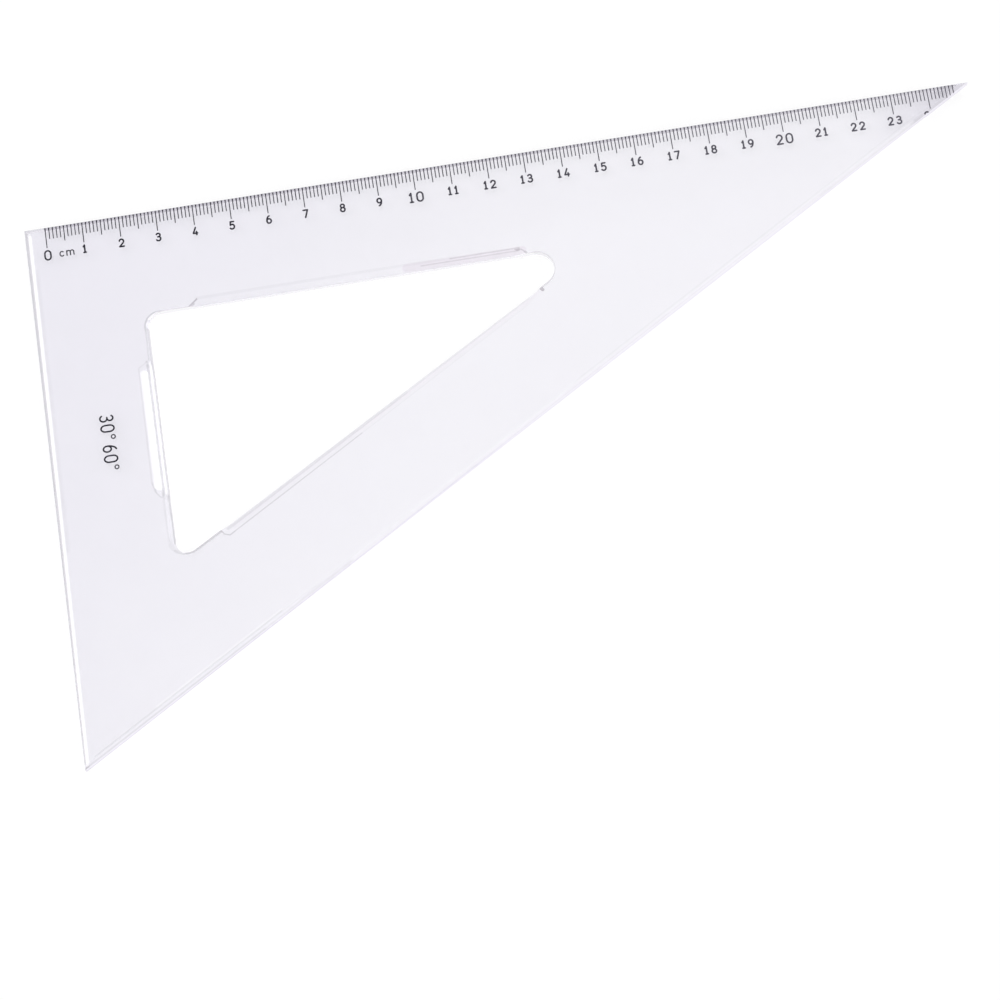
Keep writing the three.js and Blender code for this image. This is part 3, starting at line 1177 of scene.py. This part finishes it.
TRACES: tuple[Trace, ...] = (
    # The short edge: a painted shade rim, then a painted light band with a round end, then a faint
    # painted shade
    Trace(Tone.GREY, (0.35, -0.4), (0.2, -75.0), 0.36, 0.45),
    Trace(Tone.GREY, (0.2, -75.0), (-0.2, -147.6), 0.34, 0.42),
    Trace(Tone.WHITE, (1.2, -1.5), (1.05, -75.0), 0.37),
    Trace(Tone.WHITE, (1.05, -75.0), (0.72, -147.0), 0.32),
    Trace(Tone.GREY, (2.2, -12.0), (1.95, -90.0), 0.3, 0.2, 0.8),
    # The bare end of the graduated edge: a painted shade line
    Trace(Tone.GREY, (0.0, 0.0), (5.3, 0.0), 0.15, 0.5),
    # A faint shade above the window
    Trace(Tone.GREY, (75.0, -14.0), (215.0, -14.0), 4.0, 0.1, 12.0),
    # The foot
    Trace(Tone.BROWN, (0.35, -148.1), (0.9, -147.3), 0.28, 0.75),
    # The slanting edge: painted shade and painted light lines that fade towards the narrow end
    Trace(Tone.GREY, (1.6, -147.3), (50.1, -119.3), 0.4, 0.4, 0.3),
    Trace(Tone.GREY, (50.1, -119.3), (75.0, -104.9), 0.4, 0.15, 0.3),
    Trace(Tone.WHITE, (3.0, -145.73), (60.0, -112.8), 0.12, 0.4, 0.25),
    Trace(Tone.GREY, (2.9, -145.1), (55.0, -115.0), 0.15, 0.5),
    Trace(Tone.WHITE, (20.0, -134.7), (55.0, -114.5), 0.12, 0.3, 0.25),
    Trace(Tone.WHITE, (80.0, -102.2), (205.0, -30.0), 0.2, 0.6),
    Trace(Tone.WHITE, (75.0, -104.2), (240.0, -9.0), 0.5, 0.3, 0.4),
    Trace(Tone.GREY, (140.0, -65.8), (243.0, -6.35), 0.2, 0.18, 0.2),
    Trace(Tone.GREY, (212.0, -25.7), (240.0, -9.5), 0.3, 0.3, 0.2),
    # The narrow end: painted shade
    Trace(Tone.GREY, (240.0, -9.4), (250.0, -3.6), 0.5, 0.55, 0.4),
    Trace(Tone.GREY, (249.5, -1.6), (257.0, -0.2), 1.3, 0.62, 0.8),
    # The window's short side beyond the lift: painted shade lines
    *chain(Tone.GREY, ((29.35, -33.0), (29.4, -37.0), (29.3, -41.5)), 0.45, 0.7),
    Trace(Tone.GREY, (28.9, -79.8), (29.0, -92.0), 0.7, 0.35),
    Trace(Tone.GREY, (28.1, -80.5), (28.2, -92.0), 0.15, 0.25),
    Trace(Tone.GREY, (29.6, -80.5), (29.7, -92.4), 0.2, 1.0),
    # The window's foot corner: painted shade lines
    *chain(Tone.GREY, ((29.0, -92.0), (28.7, -93.2), (29.3, -94.1), (30.25, -95.0)), 0.6, 0.3),
    *chain(Tone.GREY, ((29.6, -94.6), (30.5, -95.2), (31.6, -95.75), (32.9, -95.85)), 0.32, 0.7),
    # The lift on the short side: painted light bands between painted shade lines, with spots of
    # grime
    Trace(Tone.WHITE, (27.15, -45.2), (27.15, -76.5), 0.88),
    Trace(Tone.WHITE, (29.1, -42.6), (29.1, -78.8), 0.2),
    Trace(Tone.GREY, (28.4, -43.0), (28.4, -79.5), 0.28, 0.95),
    Trace(Tone.GREY, (29.66, -33.2), (29.66, -80.5), 0.25, 1.0),
    *chain(Tone.GREY, ((29.75, -41.0), (28.0, -42.5), (26.0, -43.6), (25.8, -75.5)), 0.15, 0.3),
    *chain(Tone.GREY, ((25.8, -75.5), (26.4, -78.0), (27.5, -79.6), (29.3, -80.5)), 0.15, 0.6),
    Trace(Tone.BROWN, (28.2, -42.1), (28.5, -42.4), 0.2, 0.3),
    Trace(Tone.BROWN, (26.3, -75.5), (26.6, -78.2), 0.1, 0.3),
    # The window's ruled side: a painted shade line
    Trace(Tone.GREY, (33.5, -28.65), (129.0, -28.65), 0.12, 0.45, 0.1),
    # The lift on the ruled side: a painted shade line, with worn ends and grime
    Trace(Tone.GREY, (43.5, -26.6), (112.0, -26.6), 0.32, 0.22, 0.3),
    *chain(Tone.BROWN, ((41.4, -28.6), (43.6, -26.8)), 0.14, 0.8),
    Trace(Tone.BROWN, (42.0, -28.3), (42.5, -27.9), 0.3, 0.6),
    *chain(Tone.BROWN, ((129.4, -27.0), (131.0, -27.3), (132.4, -28.4)), 0.15, 0.6),
    Trace(Tone.BROWN, (129.8, -27.2), (130.4, -27.2), 0.28, 0.7),
    Trace(Tone.BROWN, (112.0, -26.75), (130.5, -26.75), 0.14, 0.4),
    Trace(Tone.BROWN, (131.9, -28.1), (132.2, -28.4), 0.28, 0.55),
    Trace(Tone.BROWN, (104.0, -27.4), (129.4, -27.4), 0.12, 0.35),
    Trace(Tone.MAUVE, (100.0, -27.4), (131.4, -27.5), 0.9, 0.7, 0.4),
    # The window's slanting side from its foot, and the lift beside it: painted shade lines and
    # grime
    *chain(Tone.GREY, ((34.6, -95.6), (36.8, -94.5), (39.0, -93.2), (42.2, -91.5)), 0.26, 0.75),
    *chain(Tone.BROWN, ((42.2, -91.4), (42.9, -92.3), (44.3, -92.8), (45.6, -92.0)), 0.14, 0.55),
    Trace(Tone.BROWN, (45.6, -92.0), (82.0, -71.0), 0.14, 0.4),
    Trace(Tone.BROWN, (82.0, -71.0), (131.0, -42.7), 0.12, 0.1),
    Trace(Tone.MAUVE, (46.0, -90.4), (134.0, -39.9), 0.7, 0.15),
    Trace(Tone.GREY, (44.0, -90.8), (95.0, -61.6), 0.42, 0.48),
    Trace(Tone.GREY, (95.0, -61.6), (131.0, -40.8), 0.3, 0.3),
    Trace(Tone.BROWN, (134.5, -38.9), (134.9, -39.5), 0.42, 0.85),
)


@dataclass(frozen=True)
class ClearPlastic:
    """Polished clear plastic: lavender body, painted light bands and painted shade lines at its
    edges, grime, and wear.
    """

    plate: ClearPlate
    lavender: Colour = (0.761, 0.753, 0.797, 1.0)
    neutral: Colour = (0.814, 0.810, 0.837, 1.0)
    # Painted shade that darkens the narrow end
    tip_tone: Colour = (0.86, 0.85, 0.88, 1.0)
    # Painted light: how much lighter the body gets per millimetre towards one side
    lighter: tuple[float, float, float] = (1 / 150, -1 / 250, 0.0)
    drift: float = 0.25
    # The colour of the painted light bands and of the wall painted bright
    clear: Colour = (1.0, 1.0, 1.0, 1.0)
    straight: Colour = (0.93, 0.92, 0.95, 1.0)
    strip_tone: Colour = (0.57, 0.55, 0.60, 1.0)
    strip: float = 0.95
    bare_ends: Point = (5.3, 4.2)
    roughness: float = 0.02
    scuffed: float = 0.22
    bend: float = 1.49
    last_bounce: float = 3.5
    # Clouds in the body colour, and where the painted shade at the narrow end begins and is full
    cloud: float = 0.035
    cloud_range: Point = (0.2, 1.2)
    tip_range: Point = (222.0, 252.0)
    # Heights at which the marks of the upper side begin and are full
    marked: Point = (0.08, 0.2)
    # The shaded strip under the strokes: its soft edge, and how it fades along the scale
    strip_edge: Point = (0.1, 0.15)
    strip_fade: Point = (215.0, 250.0)
    strip_rest: float = 0.35
    # The window's painted shade rims: width and strength at each corner, and the depth at which
    # they end
    rims: tuple[Point, Point, Point] = ((0.38, 1.0), (0.7, 0.85), (0.35, 0.6))
    rim_core: float = 3
    rim_depth: Point = (0.3, 0.1)
    # The wall painted bright as painted light: how far it is seen inside and outside its line, its
    # top and its curve
    wall_reach: Point = (0.5, 0.1)
    wall_top: Point = (0.13, 0.1)
    wall_curve: float = 0.45
    wall_foot: float = 0.15
    # The slanting edge: the height at which its relief ends, and the reach on each
    relief_top: Point = (0.05, 0.15)
    relief_spare: float = 0.1
    edge_reach: float = 0.15
    # Scratches along the plate, and smudges
    grain: tuple[float, float, float] = (1.0, 0.08, 1.0)
    scratch: float = 2.2
    scratch_range: Point = (0.66, 0.74)
    scratch_depth: float = 0.02
    scratch_bump: float = 0.1
    smudge: float = 0.09
    smudge_range: Point = (0.52, 0.7)
    smudge_share: float = 0.35

    def place(self, sheet: NodeSheet) -> Socket:
        """Reads the point on the plate.

        Args:
            sheet: The node sheet.

        Returns:
            The point in millimetres from the square corner.
        """
        coordinates = sheet.add("TexCoord", {}).outputs["Object"]
        offset = sheet.vector("SUBTRACT", coordinates, self.plate.triangle.corner)[0]
        return sheet.add(
            "VectorMath", {0: offset, "Scale": 1 / MM}, operation="SCALE"
        ).outputs[0]

    def gap(self, sheet: NodeSheet, flat: Socket, trace: Trace) -> Socket:
        """The distance from a trace's middle line.

        Args:
            sheet: The node sheet.
            flat: The point on the plate, without its height.
            trace: The trace.

        Returns:
            The distance in millimetres.
        """
        start, run = Vector(trace.start), Vector(trace.end) - Vector(trace.start)
        ahead = run.normalized()
        aside = ahead.orthogonal()
        along = sheet.vector("DOT_PRODUCT", flat, (*ahead, 0.0))["Value"]
        first = start.dot(ahead)
        nearest = sheet.add("Clamp", {0: along, 1: first, 2: first + run.length}).outputs[0]
        beyond = sheet.sum("SUBTRACT", along, nearest)
        across = sheet.vector("DOT_PRODUCT", flat, (*aside, 0.0))["Value"]
        across = sheet.sum("SUBTRACT", across, start.dot(aside))
        square = sheet.sum("MULTIPLY_ADD", across, across, sheet.sum("MULTIPLY", beyond, beyond))
        return sheet.sum("SQRT", square)

    def traces(self, sheet: NodeSheet, flat: Socket, tone: Tone) -> Socket:
        """Draws the traces of one tone. Where they cross, the strongest one counts.

        Args:
            sheet: The node sheet.
            flat: The point on the plate, without its height.
            tone: The tone.

        Returns:
            How strongly they show at the point.
        """
        strongest = None
        for trace in TRACES:
            if trace.tone is tone:
                gap = self.gap(sheet, flat, trace)
                low, high = trace.reach - trace.soft / 2, trace.reach + trace.soft
                mask = sheet.ramp(gap, low, high, trace.strength, 0.0)
                strongest = mask if strongest is None else sheet.sum("MAXIMUM", strongest, mask)
        return strongest

    def colour(self, sheet: NodeSheet, place: Socket) -> Socket:
        """Mixes the colour of the plastic at a point, with painted light and painted shade in it.

        Args:
            sheet: The node sheet.
            place: The point on the plate.

        Returns:
            The colour.
        """
        parts = sheet.add("SeparateXYZ", {0: place}).outputs
        flat = sheet.vector("MULTIPLY", place, FLAT)[0]
        upper = sheet.ramp(parts[2], *self.marked, 0.0, 1.0)
        # Body colour, with clouds, lighter on one side as painted light and darker at the narrow
        # end as painted shade
        slope = sheet.vector("DOT_PRODUCT", flat, self.lighter)["Value"]
        clouds = sheet.noise(flat, self.cloud)
        drift = sheet.sum("MULTIPLY_ADD", clouds, self.drift, slope)
        drift = sheet.ramp(drift, *self.cloud_range, 0.0, 1.0)
        colour = sheet.blend(drift, self.lavender, self.neutral)
        length, thickness = self.plate.triangle.length, self.plate.triangle.thickness
        to_tip = sheet.ramp(parts[0], *self.tip_range, 0.0, 1.0)
        colour = sheet.tinted(colour, to_tip, self.tip_tone)
        # Shaded strip under the strokes
        low, high = -self.strip - self.strip_edge[0], -self.strip + self.strip_edge[1]
        strip = sheet.ramp(parts[1], low, high, 0.0, 1.0)
        ruled = self.between(sheet, parts[0], self.bare_ends[0], length - self.bare_ends[1])
        fade = sheet.ramp(parts[0], *self.strip_fade, 1.0, self.strip_rest)
        ruled = sheet.sum("MULTIPLY", ruled, fade)
        strip = sheet.sum("MULTIPLY", sheet.sum("MULTIPLY", strip, ruled), upper)
        colour = sheet.tinted(colour, strip, self.strip_tone)
        # Dark traces (painted shade and grime), then the bright ones (painted light) over them
        for tone in (Tone.GREY, Tone.MAUVE, Tone.BROWN):
            mask = self.traces(sheet, flat, tone)
            if tone is Tone.GREY:
                # Painted shade rims round the window's corners join the painted shade lines
                low, high = thickness - self.rim_depth[0], thickness - self.rim_depth[1]
                face = sheet.ramp(parts[2], low, high, 0.0, 1.0)
                rims = sheet.sum("MULTIPLY", self.rounds(sheet, flat), face)
                mask = sheet.sum("MAXIMUM", mask, rims)
            colour = sheet.tinted(colour, sheet.sum("MULTIPLY", mask, upper), tone.value)
        # Painted light: the bright traces and the wall along the ruled side turn the plastic clear
        # white
        painted_light_bands = self.traces(sheet, flat, Tone.WHITE)
        wall = self.ruled_wall(sheet, parts)
        return sheet.blend(sheet.sum("MAXIMUM", painted_light_bands, wall), colour, self.clear)

    def between(self, sheet: NodeSheet, value: Socket, low: float, high: float) -> Socket:
        """One where a value lies between two bounds."""
        above = sheet.sum("GREATER_THAN", value, low)
        return sheet.sum("MULTIPLY", above, sheet.sum("LESS_THAN", value, high))

    def rounds(self, sheet: NodeSheet, flat: Socket) -> Socket:
        """Draws the painted shade rims of the window's round corners.

        Args:
            sheet: The node sheet.
            flat: The point on the plate, without its height.

        Returns:
            How strongly they show at the point.
        """
        corners = self.plate.corners
        rims = []
        for i, (corner, (width, strength)) in enumerate(zip(corners, self.rims)):
            x, y = corner.centre(corners[i - 1], corners[(i + 1) % 3])
            if i == 0:
                x -= self.plate.square_slope
            gap = sheet.vector("DISTANCE", flat, (x, y, 0.0))["Value"]
            low, high = corner.radius + width / self.rim_core, corner.radius + width
            rims.append(sheet.ramp(gap, low, high, strength, 0.0))
        return sheet.largest(rims)

    def ruled_wall(self, sheet: NodeSheet, parts: bpy.types.NodeOutputs) -> Socket:
        """Finds the window's wall along the ruled side and round its square corner.

        Args:
            sheet: The node sheet.
            parts: The point's x, y and height on the plate.

        Returns:
            One on that wall, which is painted bright as painted light.
        """
        wall, top = -self.plate.ruled_band, self.plate.triangle.thickness
        square, foot, tip = self.plate.corners
        first, last = square.centre(tip, foot)[0], tip.centre(foot, square)[0]
        inside, outside = self.wall_reach
        near = self.between(sheet, parts[1], wall - inside, wall + outside)
        along = self.between(sheet, parts[0], first, last)
        below = top - self.wall_top[0], top - self.wall_top[1]
        under = sheet.ramp(parts[2], *below, 1.0, 0.0)
        straight = sheet.sum("MULTIPLY", near, along)
        lowest = wall - square.radius * self.wall_curve
        low = self.between(sheet, parts[1], lowest, wall + outside)
        round_part = self.between(sheet, parts[0], first - square.radius, first)
        face = sheet.sum("GREATER_THAN", parts[2], self.wall_foot)
        curved = sheet.sum("MULTIPLY", sheet.sum("MULTIPLY", low, round_part), face)
        return sheet.sum("MULTIPLY", sheet.sum("MAXIMUM", straight, curved), under)

    def slanting_edge(self, sheet: NodeSheet, place: Socket) -> Socket:
        """Finds the slanting edge's wall and relief, which show what lies behind them unbent.

        Args:
            sheet: The node sheet.
            place: The point on the plate.

        Returns:
            One on that wall and relief.
        """
        plate, shape = self.plate, self.plate.triangle
        edge = Trace(Tone.GREY, (0.0, -shape.depth), (shape.length, 0.0), 0.0)
        flat = sheet.vector("MULTIPLY", place, FLAT)[0]
        height = sheet.add("SeparateXYZ", {0: place}).outputs[2]
        low, high = (plate.relief_depth + rise for rise in self.relief_top)
        relief = plate.long_relief + self.relief_spare
        reach = sheet.ramp(height, low, high, relief, self.edge_reach)
        return sheet.sum("LESS_THAN", self.gap(sheet, flat, edge), reach)

    def material(self) -> bpy.types.Material:
        """Makes the finish.

        Returns:
            The plate's material.
        """
        material, sheet = new_sheet("clear_plastic")
        place = self.place(sheet)
        colour = self.colour(sheet, place)
        stretched = sheet.vector("MULTIPLY", place, self.grain)[0]
        scratches = sheet.noise(stretched, self.scratch, 1.0)
        scratches = sheet.ramp(scratches, *self.scratch_range, 0.0, 1.0)
        smudges = sheet.noise(place, self.smudge, 2.0)
        smudges = sheet.ramp(smudges, *self.smudge_range, 0.0, self.smudge_share)
        wear = sheet.sum("MAXIMUM", scratches, smudges)
        roughness = sheet.ramp(wear, 0.0, 1.0, self.roughness, self.scuffed)
        inputs = {
            "Height": scratches,
            "Strength": self.scratch_bump,
            "Distance": -self.scratch_depth * MM,
        }
        bump = sheet.add("Bump", inputs)
        inputs = {
            "Base Color": colour,
            "Roughness": roughness,
            "IOR": self.bend,
            "Transmission Weight": 1.0,
            "Normal": bump.outputs[0],
        }
        plastic = sheet.add("BsdfPrincipled", inputs)
        through = sheet.add("BsdfTransparent", {"Color": self.straight})
        path = sheet.add("LightPath", {}).outputs
        spent = sheet.sum("GREATER_THAN", path["Ray Depth"], self.last_bounce)
        straight = sheet.sum("MAXIMUM", path["Is Shadow Ray"], spent)
        edge = sheet.sum("MULTIPLY", self.slanting_edge(sheet, place), sheet.seen())
        straight = sheet.sum("MAXIMUM", straight, edge)
        mix = sheet.add("MixShader", {0: straight, 1: plastic.outputs[0], 2: through.outputs[0]})
        sheet.finish(mix.outputs[0])
        return material


@dataclass(frozen=True)
class PrintedInk:
    """Dark printing ink, a little worn and paler towards the narrow end."""

    triangle: Triangle
    fresh: Colour = (0.012, 0.010, 0.020, 1.0)
    pale: Colour = (0.10, 0.095, 0.12, 1.0)
    worn: Colour = (0.14, 0.13, 0.17, 1.0)
    gloss: float = 0.42
    dull: float = 0.7
    sheen: float = 0.25
    grain: float = 2600.0
    grain_range: Point = (0.3, 0.7)
    grain_bump: float = 0.3
    grain_depth: float = 0.01
    patch: float = 350.0
    wear_range: Point = (0.28, 0.42)
    most_worn: float = 0.55

    def material(self) -> bpy.types.Material:
        """Makes the finish.

        Returns:
            The print's material.
        """
        material, sheet = new_sheet("printed_ink")
        coordinates = sheet.add("TexCoord", {}).outputs["Object"]
        along = sheet.add("SeparateXYZ", {0: coordinates}).outputs[0]
        half = self.triangle.length * MM / 2
        fade = sheet.ramp(along, -half, half, 0.0, 1.0)
        grain = sheet.noise(coordinates, self.grain, 1.0)
        patches = sheet.noise(coordinates, self.patch, 2.0)
        wear = sheet.sum("MULTIPLY", grain, patches)
        wear = sheet.ramp(wear, *self.wear_range, 0.0, self.most_worn)
        colour = sheet.blend(wear, sheet.blend(fade, self.fresh, self.pale), self.worn)
        roughness = sheet.ramp(grain, *self.grain_range, self.gloss, self.dull)
        inputs = {
            "Height": grain,
            "Strength": self.grain_bump,
            "Distance": self.grain_depth * MM,
        }
        bump = sheet.add("Bump", inputs)
        inputs = {
            "Base Color": colour,
            "Roughness": roughness,
            "Specular IOR Level": self.sheen,
            "Normal": bump.outputs[0],
        }
        sheet.finish(sheet.add("BsdfPrincipled", inputs).outputs[0])
        return material


@dataclass(frozen=True)
class StudioFloor:
    """White paper that shows white and keeps the object's shadow."""

    albedo: Colour = (0.9, 0.9, 0.9, 1.0)
    shade_share: Colour = (0.35, 0.35, 0.35, 1.0)
    glow: float = 0.68
    fade: Point = (0.4, 1.2)

    def material(self) -> bpy.types.Material:
        """Makes the finish: away from the object, where the lamps don't reach, it glows white.

        Returns:
            The floor's material.
        """
        material, sheet = new_sheet("white_paper")
        coordinates = sheet.add("TexCoord", {}).outputs["Object"]
        far = sheet.vector("LENGTH", coordinates)["Value"]
        strength = sheet.ramp(far, *self.fade, self.glow, 1.0)
        plain = sheet.add("BsdfDiffuse", {"Color": self.albedo})
        shaded = sheet.add("BsdfDiffuse", {"Color": self.shade_share})
        glow = sheet.add("Emission", {"Color": grey(1.0), "Strength": strength})
        shown = sheet.add("AddShader", {0: shaded.outputs[0], 1: glow.outputs[0]})
        mix = sheet.add(
            "MixShader", {0: sheet.seen(), 1: plain.outputs[0], 2: shown.outputs[0]}
        )
        sheet.finish(mix.outputs[0])
        return material


# The studio


@dataclass(frozen=True)
class SoftBox:
    """A square lamp that looks at the middle of the scene, and that surfaces don't mirror."""

    name: str
    place: tuple[float, float, float]
    size: float
    power: float

    def hang(self) -> None:
        """Adds the lamp."""
        put_down()
        bpy.ops.object.light_add(type="AREA", location=self.place)
        lamp = bpy.context.object
        lamp.name = self.name
        lamp.data.shape = "SQUARE"
        lamp.data.size = self.size
        lamp.data.energy = self.power
        lamp.visible_glossy = False
        lamp.rotation_euler = (-Vector(self.place)).to_track_quat("-Z", "Y").to_euler()


@dataclass(frozen=True)
class Studio:
    """Floor, world, lamps and camera."""

    camera_place: tuple[float, float, float] = (-0.015065, -0.213048, 0.690738)
    camera_turn: tuple[float, float, float] = (15.444901, 2.293546, -8.703346)
    lens: float = 99.1108
    sensor: float = 36.0
    floor_size: float = 6.0
    floor_gap: float = 0.15
    ambient: float = 0.66
    lamps: tuple[SoftBox, ...] = (
        SoftBox("key_lamp", (-1.1, 0.55, 1.0), 0.8, 7.0),
        SoftBox("fill_lamp", (1.1, -0.6, 1.0), 0.8, 6.0),
    )

    def stand_camera(self) -> None:
        """Puts the camera where the photograph was taken from."""
        put_down()
        turn = Euler([math.radians(angle) for angle in self.camera_turn])
        bpy.ops.object.camera_add(location=self.camera_place, rotation=turn)
        camera = bpy.context.object
        camera.name = "studio_camera"
        camera.data.lens = self.lens
        camera.data.sensor_width = self.sensor
        bpy.context.scene.camera = camera

    def lay_floor(self) -> None:
        """Lays the floor just under the plate."""
        put_down()
        place = (0.0, 0.0, -self.floor_gap * MM)
        bpy.ops.mesh.primitive_plane_add(size=self.floor_size, location=place)
        floor = bpy.context.object
        floor.name = "studio_floor"
        floor.data.materials.append(StudioFloor().material())

    def light(self) -> None:
        """Lights the scene from a white surround and two soft lamps."""
        world = bpy.data.worlds.new("studio")
        world.use_nodes = True
        bpy.context.scene.world = world
        sheet = NodeSheet(world.node_tree)
        lighting = sheet.add("Background", {"Color": grey(1.0), "Strength": self.ambient})
        shown = sheet.add("Background", {"Color": grey(1.0), "Strength": 1.0})
        mix = sheet.add(
            "MixShader", {0: sheet.seen(), 1: lighting.outputs[0], 2: shown.outputs[0]}
        )
        sheet.finish(mix.outputs[0], kind="World")
        for lamp in self.lamps:
            lamp.hang()

    def set_up(self) -> None:
        """Readies the view, the camera, the floor and the light."""
        bpy.context.scene.view_settings.view_transform = "Standard"
        self.stand_camera()
        self.lay_floor()
        self.light()


def hand_over(piece: Solid, material: bpy.types.Material, nodes: Iterable[str]) -> None:
    """Dresses a piece and gives it to the frame.

    Args:
        piece: The piece.
        material: Its finish.
        nodes: The frame nodes that the piece stands for.
    """
    piece.data.materials.clear()
    piece.data.materials.append(material)
    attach(piece, ROOT)
    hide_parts(*nodes)
    log.info("%s: %d faces", piece.name, len(piece.data.polygons))


def main() -> None:
    """Builds the studio, the plate and its print."""
    logging.basicConfig(level=logging.INFO, format="%(name)s: %(message)s")
    Studio().set_up()
    triangle = Triangle.from_frame()
    plate = ClearPlate(triangle)
    piece = plate.build()
    hand_over(piece, ClearPlastic(plate).material(), ["plate"])
    ink = PrintedInk(triangle).material()
    scale = RuledScale(triangle)
    hand_over(scale.build(), ink, ["scale_marks"])
    lettering = Lettering(triangle, scale)
    for word in lettering.words():
        hand_over(lettering.build(word), ink, word.nodes)


if __name__ == "__main__":
    main()
